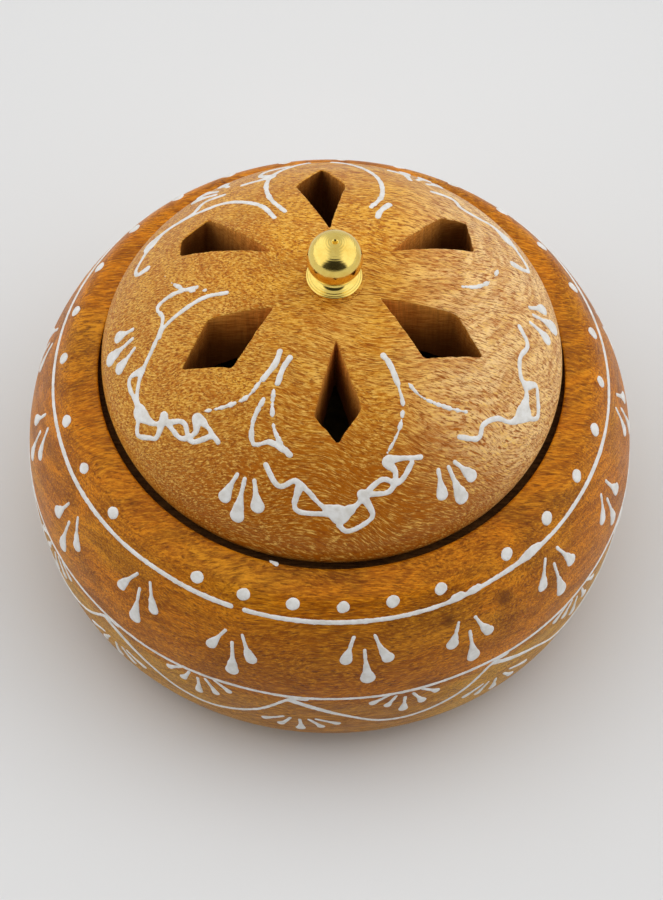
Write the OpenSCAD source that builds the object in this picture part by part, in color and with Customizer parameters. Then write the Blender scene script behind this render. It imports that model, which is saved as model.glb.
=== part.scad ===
// Round turned wooden incense burner with a pierced, lift-off domed lid.
// +Z is up and the underside of the foot is z = 0.

/* [Bowl] */
// Widest radius of the bowl
bowl_r = 57.5; // [50:0.5:70]
// Height of the widest ring above the table
belly_z = 29; // [26:0.5:34]
// Height of the mouth's edge
rim_z = 52.4; // [50:0.2:60]
// Radius of the round corner above the foot
heel_r = 16; // [12:0.5:20]
// Radius of the side below the widest ring
side_r = 55; // [48:1:70]
// Width of the land between the mouth and the shoulder
land_w = 6; // [4:0.25:7]
// How far the land falls on its way out
land_fall = 1.5; // [0.5:0.1:2]
// Depth of the hollow turned into the foot
foot_recess_d = 1; // [0.5:0.1:2]
// Width of the ring that the bowl stands on
foot_ring_w = 9; // [6:0.5:14]

/* [Well] */
// Width of the ledge that carries the lid
ledge_w = 8.2; // [6:0.2:10]
// Thickness of wood under the well
floor_t = 9; // [7:0.5:12]
// Radius of the round corner at the bottom of the well
well_corner_r = 12; // [6:0.5:16]
// Depth of the lid's ledge below the mouth's edge
ledge_d = 3.4; // [2.5:0.1:4.5]
// Gap between the lid's widest ring and the mouth
mouth_gap = 0.6; // [0.4:0.1:1.5]

/* [Lid] */
// Widest radius of the lid
lid_r = 43.6; // [42:0.2:46]
// Height of the dome above the lid's seat
dome_h = 35.4; // [30:0.2:40]
// Height of the lid's widest ring above its seat
widest_lift = 7.1; // [5:0.1:7.5]
// Radius of the lid's tucked edge
edge_r = 10; // [8:0.5:11]
// Thickness of the lid at its centre
lid_t = 14; // [10:0.5:16]
// Width of the ring that the lid sits on
seat_w = 7; // [5:0.25:9]

/* [Vents] */
// Number of teardrop vents
vent_n = 6; // [3:1:7]
// Distance from the centre to a vent's point
vent_tip_r = 12.1; // [10.5:0.1:16]
// Distance from a vent's round end to the ring that the lid sits on
vent_margin = 1.7; // [0.5:0.1:3]
// Width of a vent
vent_w = 10.6; // [6:0.2:12]
// Direction of the first vent
vent_turn = -86.3; // [-90:0.1:-30]

/* [Knob] */
// Radius of the knob's ball
ball_r = 5.3; // [4.5:0.1:7]
// Radius of the knob's flange
flange_r = 5.3; // [4.5:0.1:6.5]
// Thickness of the flange's edge
flange_t = 0.8; // [0.6:0.1:1.2]
// Radius of the neck between the flange and the ball
neck_r = 3.4; // [3:0.1:4]
// Height of the ball's centre above the lid
ball_z = 6.3; // [5.6:0.1:8]
// Diameter of the knob's screw
screw_d = 4; // [3:0.5:4]
// Length of the screw inside the knob
screw_grip = 6; // [4:0.5:7]
// Diameter of the screw's head
screw_head_d = 7.6; // [6.5:0.1:8]
// Thickness of the screw's head
screw_head_t = 2.6; // [2:0.1:3]
// Diameter of the washer
washer_d = 11; // [9:0.5:13]
// Thickness of the washer
washer_t = 1; // [0.6:0.1:1.6]
// Gap all round the screw where it passes the wood and the washer
screw_gap = 0.2; // [0.1:0.05:0.4]

/* [Ash dish] */
// Gap between the dish's flat base and the well's round corner
dish_gap = 0.3; // [0.2:0.1:3]
// Height of the dish
dish_h = 8; // [5:0.5:12]
// Thickness of the dish's metal
dish_t = 0.8; // [0.6:0.1:1.2]
// How far the dish's side flares on its way up
dish_flare = 5; // [2:0.5:8]
// Diameter of the wood screw that holds the dish
dish_screw_d = 3; // [2.5:0.1:3.5]
// Length of that screw inside the wood
dish_screw_l = 6; // [4:0.5:6]
// Diameter of its head
dish_screw_head_d = 6; // [5:0.2:7]

/* [Hidden] */
$fn = 96;
arc_n = 12;          // chords in one arc of a turned outline
eps = 0.01;          // overlap between a cut and the face it opens
reach = 200;         // length of a cut that goes right through

// lid
seat_z = rim_z - ledge_d;
apex_z = seat_z + dome_h;
edge_c = [lid_r - edge_r, seat_z + widest_lift];
crown_rise = dome_h - widest_lift;
crown_r = (pow(edge_c[0], 2) + pow(crown_rise, 2) - pow(edge_r, 2)) / (2 * (crown_rise - edge_r));
crown_z = apex_z - crown_r;
edge_turn = atan2(edge_c[1] - crown_z, edge_c[0]);
tuck_turn = -asin(widest_lift / edge_r);
inner_apex_z = apex_z - lid_t;
inner_rise = inner_apex_z - seat_z;
hollow_r = edge_c[0] + edge_r * cos(tuck_turn) - seat_w;
inner_r = (pow(hollow_r, 2) + pow(inner_rise, 2)) / (2 * inner_rise);
vent_end_r = hollow_r - vent_margin;

// bowl
mouth_r = lid_r + mouth_gap;
well_r = mouth_r - ledge_w;
crease = [mouth_r + land_w, rim_z - land_fall];
side_c = [bowl_r - side_r, belly_z];
heel_c = [side_c[0] + sqrt(pow(side_r - heel_r, 2) - pow(belly_z - heel_r, 2)), heel_r];
heel_turn = atan2(heel_c[1] - side_c[1], heel_c[0] - side_c[0]);
shoulder_w = bowl_r - crease[0];
shoulder_h = crease[1] - belly_z;
shoulder_r = (pow(shoulder_w, 2) + pow(shoulder_h, 2)) / (2 * shoulder_w);
shoulder_c = [bowl_r - shoulder_r, belly_z];
crease_turn = atan2(crease[1] - shoulder_c[1], crease[0] - shoulder_c[0]);
foot_r = heel_c[0];
recess_r = foot_r - foot_ring_w;

// knob and its screw
spot_drop = 0.3;                       // flat cut into the crown under the flange
knob_z = apex_z - spot_drop;
spot_gap = 0.5;                        // ring of flat left around the flange and washer
washer_z = inner_apex_z + 0.6;         // flat cut into the hollow for the washer
neck_top = ball_z - sqrt(pow(ball_r, 2) - pow(neck_r, 2));
cove_r = (neck_top - flange_t) / 2;
dimple_r = 0.9;
dimple_d = 0.35;

// dish
dish_floor_r = well_r - well_corner_r - dish_gap;
dish_r = dish_floor_r + dish_flare;
lip_r = 1.1;
dish_screw_head_t = 1.8;

function arc(c, r, from, to, n = arc_n) =
    [for (i = [0 : n]) let (a = from + (to - from) * i / n) c + r * [cos(a), sin(a)]];

// Turned outline of the bowl from its foot up to the mouth
function bowl_side() = concat(
    arc(heel_c, heel_r, -90, heel_turn),
    arc(side_c, side_r, heel_turn, 0),
    arc(shoulder_c, shoulder_r, 0, crease_turn));

// Turned outline of the dome from its seat up to the centre
function dome_side() = concat(
    arc(edge_c, edge_r, tuck_turn, edge_turn),
    arc([0, crown_z], crown_r, edge_turn, 90));

module teardrop(tip_r, end_r, width) {
    r = width / 2;
    c = end_r - r;
    lean = asin(r / (c - tip_r));
    translate([c, 0]) circle(r = r);
    polygon([[tip_r, 0], [c - r * sin(lean), r * cos(lean)], [c - r * sin(lean), -r * cos(lean)]]);
}

module bowl() {
    well_c = [well_r - well_corner_r, floor_t + well_corner_r];
    color("peru") difference() {
        rotate_extrude() polygon(concat([[0, 0]], bowl_side(), [[mouth_r, rim_z], [0, rim_z]]));
        translate([0, 0, seat_z]) cylinder(r = mouth_r, h = ledge_d + eps);
        rotate_extrude() polygon(concat(
            [[0, seat_z + eps], [0, floor_t]],
            arc(well_c, well_corner_r, -90, 0),
            [[well_r, seat_z + eps]]));
        translate([0, 0, -eps]) cylinder(r = recess_r, h = foot_recess_d + eps);
        translate([0, 0, floor_t - dish_screw_l]) cylinder(d = dish_screw_d, h = dish_screw_l + eps);
    }
}

module lid() {
    color("burlywood") difference() {
        rotate_extrude() polygon(concat([[0, seat_z]], dome_side()));
        intersection() {
            translate([0, 0, inner_apex_z - inner_r]) sphere(r = inner_r);
            translate([0, 0, seat_z - eps]) cylinder(r = lid_r, h = dome_h);
        }
        for (i = [0 : vent_n - 1])
            rotate(vent_turn + i * 360 / vent_n)
                translate([0, 0, seat_z]) linear_extrude(reach) teardrop(vent_tip_r, vent_end_r, vent_w);
        translate([0, 0, knob_z]) cylinder(r = flange_r + spot_gap, h = reach);
        translate([0, 0, seat_z]) cylinder(r = washer_d / 2 + spot_gap, h = washer_z - seat_z);
        translate([0, 0, seat_z]) cylinder(d = screw_d + 2 * screw_gap, h = reach);
    }
}

// Ball, coved neck and flange turned from one bar, with a dimple left by the lathe
module knob() {
    color("gold") translate([0, 0, knob_z]) difference() {
        union() {
            cylinder(r = flange_r, h = flange_t);
            rotate_extrude() difference() {
                translate([0, flange_t]) square([flange_r - flange_t, neck_top - flange_t]);
                translate([neck_r + cove_r, flange_t + cove_r]) circle(r = cove_r);
                translate([neck_r + cove_r, flange_t + cove_r]) square([flange_r, reach]);
            }
            translate([0, 0, ball_z]) sphere(r = ball_r);
        }
        translate([0, 0, -eps]) cylinder(d = screw_d, h = screw_grip + 2 * eps);
        translate([0, 0, -reach]) cylinder(r = reach, h = reach);
        translate([0, 0, ball_z + ball_r - dimple_d]) cylinder(r = dimple_r, h = reach);
    }
}

module knob_screw() {
    under_z = washer_z - washer_t;
    color("silver") {
        translate([0, 0, under_z - screw_head_t]) difference() {
            cylinder(d = screw_head_d, h = screw_head_t);
            translate([-screw_head_d, -screw_d / 8, -eps]) cube([2 * screw_head_d, screw_d / 4, screw_head_t / 2]);
        }
        translate([0, 0, under_z - eps]) cylinder(d = screw_d, h = knob_z + screw_grip - under_z + eps);
    }
}

module knob_washer() {
    color("silver") translate([0, 0, washer_z - washer_t]) difference() {
        cylinder(d = washer_d, h = washer_t);
        translate([0, 0, -eps]) cylinder(d = screw_d + 2 * screw_gap, h = washer_t + 2 * eps);
    }
}

// Pressed dish with a flared side and a rolled lip
module ash_dish() {
    color("darkgoldenrod") translate([0, 0, floor_t]) difference() {
        rotate_extrude() {
            square([dish_floor_r, dish_t]);
            polygon([[dish_floor_r - dish_t, 0], [dish_floor_r, 0], [dish_r, dish_h - lip_r],
                [dish_r - dish_t, dish_h - lip_r], [dish_floor_r - dish_t, dish_t]]);
            translate([dish_r - dish_t / 2, dish_h - lip_r]) circle(r = lip_r, $fn = 32);
        }
        translate([0, 0, -eps]) cylinder(d = dish_screw_d + 2 * screw_gap, h = dish_t + 2 * eps);
    }
}

module dish_screw() {
    color("silver") translate([0, 0, floor_t + dish_t]) {
        difference() {
            cylinder(d = dish_screw_head_d, h = dish_screw_head_t);
            translate([-dish_screw_head_d, -dish_screw_d / 8, dish_screw_head_t / 2])
                cube([2 * dish_screw_head_d, dish_screw_d / 4, dish_screw_head_t]);
        }
        translate([0, 0, -dish_t - dish_screw_l]) cylinder(d = dish_screw_d, h = dish_t + dish_screw_l + eps);
    }
}

bowl();
lid();
knob();
knob_screw();
knob_washer();
ash_dish();
dish_screw();
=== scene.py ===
# Turned wooden incense burner: a bowl, a pierced domed lid with a brass knob, and raised white paint.
import math

import bpy
import numpy as np
from mathutils import Matrix, Vector, geometry, noise


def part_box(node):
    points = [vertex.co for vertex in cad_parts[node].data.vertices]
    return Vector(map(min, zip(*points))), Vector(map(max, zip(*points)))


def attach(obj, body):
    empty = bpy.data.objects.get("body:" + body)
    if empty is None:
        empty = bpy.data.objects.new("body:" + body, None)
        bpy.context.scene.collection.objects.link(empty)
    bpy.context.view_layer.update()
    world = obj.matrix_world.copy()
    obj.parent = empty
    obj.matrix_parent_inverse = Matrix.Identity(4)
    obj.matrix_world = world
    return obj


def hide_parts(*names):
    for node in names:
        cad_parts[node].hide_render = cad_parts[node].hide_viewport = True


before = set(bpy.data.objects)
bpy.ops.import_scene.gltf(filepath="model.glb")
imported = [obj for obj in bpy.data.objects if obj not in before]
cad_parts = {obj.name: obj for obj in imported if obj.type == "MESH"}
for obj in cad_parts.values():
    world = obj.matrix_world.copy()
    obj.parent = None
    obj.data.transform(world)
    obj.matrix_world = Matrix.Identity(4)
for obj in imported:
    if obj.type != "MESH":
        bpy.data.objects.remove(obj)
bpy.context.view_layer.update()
mm = 0.001


def boxInMm(node):
    low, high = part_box(node)
    return [v / mm for v in low], [v / mm for v in high]


bowlHigh = boxInMm("bowl")[1]
lidLow, lidHigh = boxInMm("lid")
knobLow, knobHigh = boxInMm("knob")
washerTop = boxInMm("knob_washer")[1][2]
bowlRadius, rimHeight = bowlHigh[0], bowlHigh[2]
lidRadius, seatHeight, apexHeight = lidHigh[0], lidLow[2], lidHigh[2]
knobSeat = knobLow[2]
print("frame: bowl %.1f mm wide, %.1f mm tall in all" % (2 * bowlRadius, knobHigh[2]))


# outlines and turned shapes

def arc(centre, radius, start, end, steps=16):
    turns = np.radians(np.linspace(start, end, steps + 1))
    return [(centre[0] + radius * math.cos(t), centre[1] + radius * math.sin(t)) for t in turns]


def line(start, end, step=2.0):
    count = max(1, round(math.dist(start, end) / step))
    return [tuple(np.add(start, np.subtract(end, start) * k / count)) for k in range(count + 1)]


def lengthsAlong(points):
    # how far along a path each of its points is
    return np.concatenate([[0], np.cumsum(np.linalg.norm(np.diff(points, axis=0), axis=1))])


def trimmed(points, reach):
    # the points with the last stretch of length reach cut off
    points = list(points)
    while len(points) > 2 and math.dist(points[-1], points[-2]) < reach:
        reach -= math.dist(points[-1], points[-2])
        points.pop()
    share = reach / math.dist(points[-1], points[-2])
    points[-1] = tuple(np.add(points[-1], np.subtract(points[-2], points[-1]) * share))
    return points


def joined(*stretches):
    # chains stretches of points; the number between two of them is how far their corner is rounded
    path = list(stretches[0])
    for reach, points in zip(stretches[1::2], stretches[2::2]):
        if reach == 0:
            path += list(points)[1:]
            continue
        corner = np.array(path[-1])
        path = trimmed(path, reach)
        after = trimmed(points[::-1], reach)[::-1]
        start, end = np.array(path[-1]), np.array(after[0])
        for t in (0.2, 0.4, 0.6, 0.8):
            path.append(tuple((1 - t) ** 2 * start + 2 * t * (1 - t) * corner + t * t * end))
        path += after
    return path


def newObject(name, data):
    thing = bpy.data.objects.new(name, data)
    bpy.context.scene.collection.objects.link(thing)
    return thing


def meshFrom(name, points, faces, body, slot, *nodes):
    # points in mm; the piece rides on its body and stands for the nodes
    mesh = bpy.data.meshes.new(name)
    mesh.from_pydata([(x * mm, y * mm, z * mm) for x, y, z in points], [], faces)
    mesh.validate()
    mesh.shade_smooth()
    piece = newObject(name, mesh)
    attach(piece, body)
    if nodes:
        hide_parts(*nodes)
    return piece


def turned(outline, segments):
    # points and faces of an outline of (radius, height) spun round the axis
    points, rings, faces = [], [], []
    for r, z in outline:
        count = 1 if r < 1e-6 else segments     # a ring shrinks to one point on the axis
        rings.append(range(len(points), len(points) + count))
        points += [(r * math.cos(a), r * math.sin(a), z) for a in np.linspace(0, 2 * math.pi, count + 1)[:-1]]
    for lower, upper in zip(rings, rings[1:]):
        for k in range(segments):
            n = (k + 1) % segments
            if len(lower) == 1:
                faces.append((lower[0], upper[n], upper[k]))
            elif len(upper) == 1:
                faces.append((lower[k], lower[n], upper[0]))
            else:
                faces.append((lower[k], lower[n], upper[n], upper[k]))
    return points, faces


def paintTwoMaterials(piece, outside, inside, isInside):
    # isInside takes the face centres in mm
    mesh = piece.data
    mesh.materials.append(outside)
    mesh.materials.append(inside)
    centres = np.zeros(len(mesh.polygons) * 3)
    mesh.polygons.foreach_get("center", centres)
    flags = isInside(centres.reshape(-1, 3) / mm).astype(np.int32)
    mesh.polygons.foreach_set("material_index", flags)


# materials

def addNode(material, kind, **values):
    node = material.node_tree.nodes.new(kind)
    for key, value in values.items():
        setattr(node, key, value)
    return node


def link(material, start, end):
    material.node_tree.links.new(start, end)


def newMaterial(name, **sockets):
    # a material whose shader has the given fixed values
    material = bpy.data.materials.new(name)
    material.use_nodes = True
    shader = material.node_tree.nodes["Principled BSDF"]
    for key, value in sockets.items():
        shader.inputs[key.replace("_", " ")].default_value = value
    return material, shader


def grainSpace(material, scale, turn=(0, 0, 0), place=(0, 0, 0)):
    # object coordinates in mm, stretched along the grain
    where = addNode(material, "ShaderNodeTexCoord")
    mapping = addNode(material, "ShaderNodeMapping")
    mapping.inputs["Scale"].default_value = [s / mm for s in scale]
    mapping.inputs["Rotation"].default_value = [math.radians(a) for a in turn]
    mapping.inputs["Location"].default_value = place
    link(material, where.outputs["Object"], mapping.inputs["Vector"])
    return mapping.outputs["Vector"]


def cloud(material, space, scale=1.0, detail=2.0, rough=0.5, warp=0.0):
    texture = addNode(material, "ShaderNodeTexNoise")
    texture.inputs["Scale"].default_value = scale
    texture.inputs["Detail"].default_value = detail
    texture.inputs["Roughness"].default_value = rough
    texture.inputs["Distortion"].default_value = warp
    link(material, space, texture.inputs["Vector"])
    return texture.outputs["Fac"]


def rampOf(material, value, *stops):
    # stops are (place, colour or grey)
    ramp = addNode(material, "ShaderNodeValToRGB")
    while len(ramp.color_ramp.elements) < len(stops):
        ramp.color_ramp.elements.new(0.5)
    for element, (place, tone) in zip(ramp.color_ramp.elements, stops):
        element.position = place
        element.color = (*tone, 1) if isinstance(tone, tuple) else (tone, tone, tone, 1)
    link(material, value, ramp.inputs["Fac"])
    return ramp.outputs["Color"]


def mixed(material, share, first, second, blend="MIX"):
    # share, first and second are sockets or fixed values
    mix = addNode(material, "ShaderNodeMix", data_type="RGBA", blend_type=blend)
    for value, socket in ((share, mix.inputs[0]), (first, mix.inputs[6]), (second, mix.inputs[7])):
        if isinstance(value, bpy.types.NodeSocket):
            link(material, value, socket)
        elif isinstance(value, tuple):
            socket.default_value = (*value, 1)
        else:
            socket.default_value = value
    return mix.outputs[2]


def sums(material, kind, first, second, node="ShaderNodeMath"):
    # first and second are sockets or fixed values
    node = addNode(material, node, operation=kind)
    for value, socket in zip((first, second), node.inputs):
        if isinstance(value, bpy.types.NodeSocket):
            link(material, value, socket)
        else:
            socket.default_value = value
    return node.outputs[0]


def vectors(material, kind, first, second):
    return sums(material, kind, first, second, "ShaderNodeVectorMath")


def bumpFrom(material, shader, height, depth):
    # depth in mm
    bump = addNode(material, "ShaderNodeBump")
    bump.inputs["Strength"].default_value = 1.0
    bump.inputs["Distance"].default_value = depth * mm
    link(material, height, bump.inputs["Height"])
    link(material, bump.outputs["Normal"], shader.inputs["Normal"])


def softStep(material, value, start, end, low=0.0, high=1.0):
    # goes smoothly from low to high as the value goes from start to end
    spread = addNode(material, "ShaderNodeMapRange", interpolation_type="SMOOTHSTEP")
    for name, number in (("From Min", start), ("From Max", end), ("To Min", low), ("To Max", high)):
        spread.inputs[name].default_value = number
    link(material, value, spread.inputs["Value"])
    return spread.outputs["Result"]


def axesOf(material, space="Object"):
    # x, y and z in one of the coordinate spaces
    where = addNode(material, "ShaderNodeTexCoord")
    apart = addNode(material, "ShaderNodeSeparateXYZ")
    link(material, where.outputs[space], apart.inputs[0])
    return apart.outputs


def placeMask(material, axis, start, end):
    # rises from 0 to 1 between two places, in mm, along one axis of the object
    return softStep(material, axesOf(material)["XYZ".index(axis)], start * mm, end * mm)


def knotMask(material, place, size):
    # 1 at the middle of a knot, fading out at its size in mm
    apart = addNode(material, "ShaderNodeVectorMath", operation="DISTANCE")
    link(material, grainSpace(material, (1, 1, 1)), apart.inputs[0])
    apart.inputs[1].default_value = place
    rag = cloud(material, grainSpace(material, (0.5, 0.7, 0.7)), 1, 3, 0.6)
    away = sums(material, "ADD", sums(material, "DIVIDE", apart.outputs["Value"], size), rag)
    return rampOf(material, sums(material, "MULTIPLY", away, 0.5), (0.35, 1.0), (0.72, 0.0))


def laidOver(material, tone, over, mask, most):
    # lays another tone over this one where the mask is, up to the given share
    return mixed(material, sums(material, "MULTIPLY", mask, most), tone, over)


def swayingSpace(material, turn, place, sway):
    # object coordinates in mm, with the grain bent to and fro by a few mm
    straight = grainSpace(material, (1, 1, 1), turn, place)
    drift = addNode(material, "ShaderNodeTexNoise")
    drift.inputs["Scale"].default_value = 0.045
    drift.inputs["Detail"].default_value = 1.5
    link(material, straight, drift.inputs["Vector"])
    centred = vectors(material, "SUBTRACT", drift.outputs["Color"], (0.5, 0.5, 0.5))
    return vectors(material, "ADD", straight, vectors(material, "MULTIPLY", centred, sway))


ringTexture = {"Distortion": 7.0, "Detail": 3.0, "Detail Scale": 0.9, "Detail Roughness": 0.5}
varnish = {
    "Specular_IOR_Level": 0.20,
    "Specular_Tint": (1.0, 0.74, 0.40, 1.0),
    "Coat_Weight": 0.07,
    "Coat_Roughness": 0.26,
}
bowlFinish = {
    "light": (0.66, 0.215, 0.004),      # early wood
    "dark": (0.44, 0.108, 0.002),       # late wood
    "deep": (0.20, 0.044, 0.001),       # fine streaks
    "gold": (0.84, 0.350, 0.018),
    "pore": (0.090, 0.018, 0.001),
    "bleached": (0.68, 0.290, 0.014),   # where the stain took less
    "dirty": (0.19, 0.060, 0.002),
    "ringSize": 5.5,                    # mm from one growth ring to the next
    "ringTilt": (16, 4, 0),
    "place": (7, 3, 11),
    "fibre": (0.46, 2.6, 3.1),
    "fibreTurn": (0, 0, 0),
    "pores": (0.42, 2.4, 2.6),
    "streaks": 0.60,
    "glints": 0.55,
    "poreShare": 0.56,
    "porePull": 0.60,
    "paintedLightAndShade": [("Z", 27.5, 23.5, (0.62, 0.345, 0.035), 0.85),        # painted light: below the belly the bowl is made paler, as the light floor shines up on it
              # painted shade: the front of the bowl made darker, as it faces the dark open front
              ("Y", -48.0, -56.0, (0.32, 0.085, 0.001), 0.60)],
    "knots": [((33.5, -43.6, 42.5), 2.6), ((23.5, -49.4, 43.3), 1.8)],
}
lidFinish = {
    "light": (0.78, 0.385, 0.036),
    "dark": (0.62, 0.245, 0.012),
    "deep": (0.42, 0.115, 0.003),
    "gold": (0.92, 0.560, 0.125),
    "pore": (0.270, 0.060, 0.001),
    "bleached": (0.80, 0.480, 0.115),
    "dirty": (0.40, 0.160, 0.018),
    "ringSize": 6.0,
    "ringTilt": (20, -5, 0),
    "place": (31, 17, 4),
    "fibre": (0.48, 1.3, 3.9),
    "fibreTurn": (72, -8, -23),         # the fibres run down towards the right edge
    "pores": (0.50, 1.5, 3.9),
    "streaks": 0.95,
    "glints": 0.85,
    "poreShare": 0.54,
    "porePull": 0.85,
    # painted light: the left side given its own, less orange tone for how the light falls on it
    "paintedLightAndShade": [("X", -10.0, -32.0, (0.60, 0.290, 0.050), 0.55),
              ("X", 8.0, 30.0, (0.97, 0.680, 0.330), 0.88),        # painted highlight: the right side made paler where the lamps' glare falls
              ("Y", -18.0, -38.0, (0.33, 0.082, 0.001), 0.95)],     # painted shade: the front edge made darker, as it faces the dark open front
    "knots": [],
}


def varnishedWood(name, finish):
    material, shader = newMaterial(name, **varnish)
    place = finish["place"]
    tilted = swayingSpace(material, finish["ringTilt"], place, (0, 9, 7))
    level = swayingSpace(material, finish["fibreTurn"], place, (0, 9, 9))
    rings = addNode(material, "ShaderNodeTexWave", bands_direction="Z", wave_profile="SAW")
    rings.inputs["Scale"].default_value = math.pi / 10 / finish["ringSize"]    # one band in each ring's width
    for key, value in ringTexture.items():
        rings.inputs[key].default_value = value
    link(material, vectors(material, "MULTIPLY", tilted, (0.35, 0.8, 1)), rings.inputs["Vector"])
    late = rampOf(material, rings.outputs["Fac"], (0.0, 0.2), (0.5, 0.35), (0.88, 0.85), (1.0, 0.2))
    tone = laidOver(material, finish["light"], finish["dark"], late, 0.6)
    mottle = cloud(material, vectors(material, "MULTIPLY", tilted, (0.03, 0.06, 0.09)), 1, 4, 0.55, 0.6)
    tone = mixed(material, rampOf(material, mottle, (0.50, 0.0), (0.68, 0.7)), tone, finish["bleached"])
    gloom = cloud(material, vectors(material, "MULTIPLY", tilted, (0.045, 0.07, 0.11)), 1, 5, 0.6, 1.0)
    tone = mixed(material, rampOf(material, gloom, (0.48, 0.0), (0.64, 0.7)), tone, finish["dirty"])
    # painted light and shade: each entry makes one side or part lighter or darker for how the light falls on
    # it
    for axis, start, end, other, part in finish["paintedLightAndShade"]:
        tone = laidOver(material, tone, other, placeMask(material, axis, start, end), part)
    # thin layers follow the rings, and fine fibres run along the grain
    layers = cloud(material, vectors(material, "MULTIPLY", tilted, (0.06, 0.16, 1.1)), 1, 4, 0.65, 0.4)
    tone = mixed(material, rampOf(material, layers, (0.40, 0.60), (0.58, 0.0)), tone, finish["deep"])
    fibres = cloud(material, vectors(material, "MULTIPLY", level, finish["fibre"]), 1, 4, 0.7)
    streaks = rampOf(material, fibres, (0.38, finish["streaks"]), (0.49, 0.0))
    tone = mixed(material, streaks, tone, finish["deep"])
    glints = rampOf(material, fibres, (0.50, 0.0), (0.66, finish["glints"]))
    tone = mixed(material, glints, tone, finish["gold"])
    # pores are short dashes along the grain, and dots where the grain ends
    pores = cloud(material, vectors(material, "MULTIPLY", level, finish["pores"]), 1, 2.5, 0.65)
    share = finish["poreShare"]
    poreMask = rampOf(material, pores, (share, 0.0), (share + 0.09, 1.0))
    tone = laidOver(material, tone, finish["pore"], poreMask, finish["porePull"])
    for spot, size in finish["knots"]:
        tone = laidOver(material, tone, finish["pore"], knotMask(material, spot, size), 0.7)
    link(material, tone, shader.inputs["Base Color"])
    rough = cloud(material, grainSpace(material, (0.1, 0.25, 0.25), place=place), 1, 3, 0.6)
    link(material, rampOf(material, rough, (0.3, 0.36), (0.7, 0.50)), shader.inputs["Roughness"])
    height = sums(material, "SUBTRACT", sums(material, "MULTIPLY", fibres, 0.8), poreMask)
    bumpFrom(material, shader, height, 0.04)
    return material


def rawWood(name, light, dark, lowShade=None):
    # the last argument gives the heights in mm where a painted shade starts and ends, and its tone
    material, shader = newMaterial(name, Specular_IOR_Level=0.15)
    grain = cloud(material, grainSpace(material, (0.3, 2.4, 2.4)), 1, 3, 0.6)
    marks = cloud(material, grainSpace(material, (1.6, 1.6, 0.12)), 1, 3, 0.6)   # the cutter's, up and down
    tone = mixed(material, rampOf(material, grain, (0.35, 0.0), (0.68, 1.0)), light, dark)
    tone = mixed(material, 0.6, tone, rampOf(material, marks, (0.35, 0.55), (0.6, 1.0)), "MULTIPLY")
    # painted shade: the wood darkens from the first height down to the second
    if lowShade:
        start, end, shadeTone = lowShade
        tone = laidOver(material, tone, shadeTone, placeMask(material, "Z", start, end), 0.85)
    link(material, tone, shader.inputs["Base Color"])
    link(material, rampOf(material, grain, (0.3, 0.7), (0.7, 0.9)), shader.inputs["Roughness"])
    bumpFrom(material, shader, sums(material, "ADD", marks, grain), 0.12)
    return material


def metal(name, tone, worn, rough, ringMarks=0.0, spots=0.5):
    # turned or pressed metal, with fine rings round the axis
    material, shader = newMaterial(name, Metallic=1.0)
    haze = cloud(material, grainSpace(material, (spots, spots, spots)), 1, 4, 0.6)
    tone = mixed(material, rampOf(material, haze, (0.45, 0.0), (0.75, 1.0)), tone, worn)
    link(material, tone, shader.inputs["Base Color"])
    link(material, rampOf(material, haze, (0.3, rough), (0.75, rough * 1.8)), shader.inputs["Roughness"])
    x, y, z = axesOf(material)
    squares = [sums(material, "POWER", value, 2.0) for value in (x, y)]
    radius = sums(material, "SQRT", sums(material, "ADD", *squares), 0.0)
    both = addNode(material, "ShaderNodeCombineXYZ")
    link(material, radius, both.inputs[0])
    link(material, z, both.inputs[2])
    bumpFrom(material, shader, cloud(material, both.outputs[0], 3.5 / mm, 3.0), ringMarks)
    return material


print("materials")
bowlWood = varnishedWood("bowlWood", bowlFinish)
lidWood = varnishedWood("lidWood", lidFinish)
cutWood = rawWood("cutWood", (0.84, 0.360, 0.060), (0.50, 0.165, 0.018),
                  (81.0, 68.0, (0.13, 0.040, 0.006)))      # painted shade: the vents' walls and the hollow darken lower down
# painted shade: a near-black wood for the well inside the mouth and the recess under the foot, where little
# light gets in
paintedShadeWood = rawWood("paintedShadeWood", (0.150, 0.060, 0.014), (0.060, 0.022, 0.006))
brass = metal("brass", (0.96, 0.73, 0.19), (0.86, 0.58, 0.12), 0.10, 0.012)
dishBrass = metal("dishBrass", (0.20, 0.125, 0.045), (0.07, 0.048, 0.028), 0.34, 0.02, 0.25)
screwSteel = metal("screwSteel", (0.52, 0.52, 0.53), (0.33, 0.31, 0.30), 0.28, 0.02, 0.8)


def whitePaint():
    material, shader = newMaterial("whitePaint", Specular_IOR_Level=0.45)
    thick = cloud(material, grainSpace(material, (0.6, 0.6, 0.6)), 1, 3, 0.6)
    tone = rampOf(material, thick, (0.35, (0.67, 0.65, 0.61)), (0.6, (0.79, 0.785, 0.77)))
    link(material, tone, shader.inputs["Base Color"])
    link(material, rampOf(material, thick, (0.3, 0.42), (0.7, 0.58)), shader.inputs["Roughness"])
    bumpFrom(material, shader, cloud(material, grainSpace(material, (2.2, 2.2, 2.2)), 1, 2, 0.5), 0.05)
    return material


paint = whitePaint()

# the bowl

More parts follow.
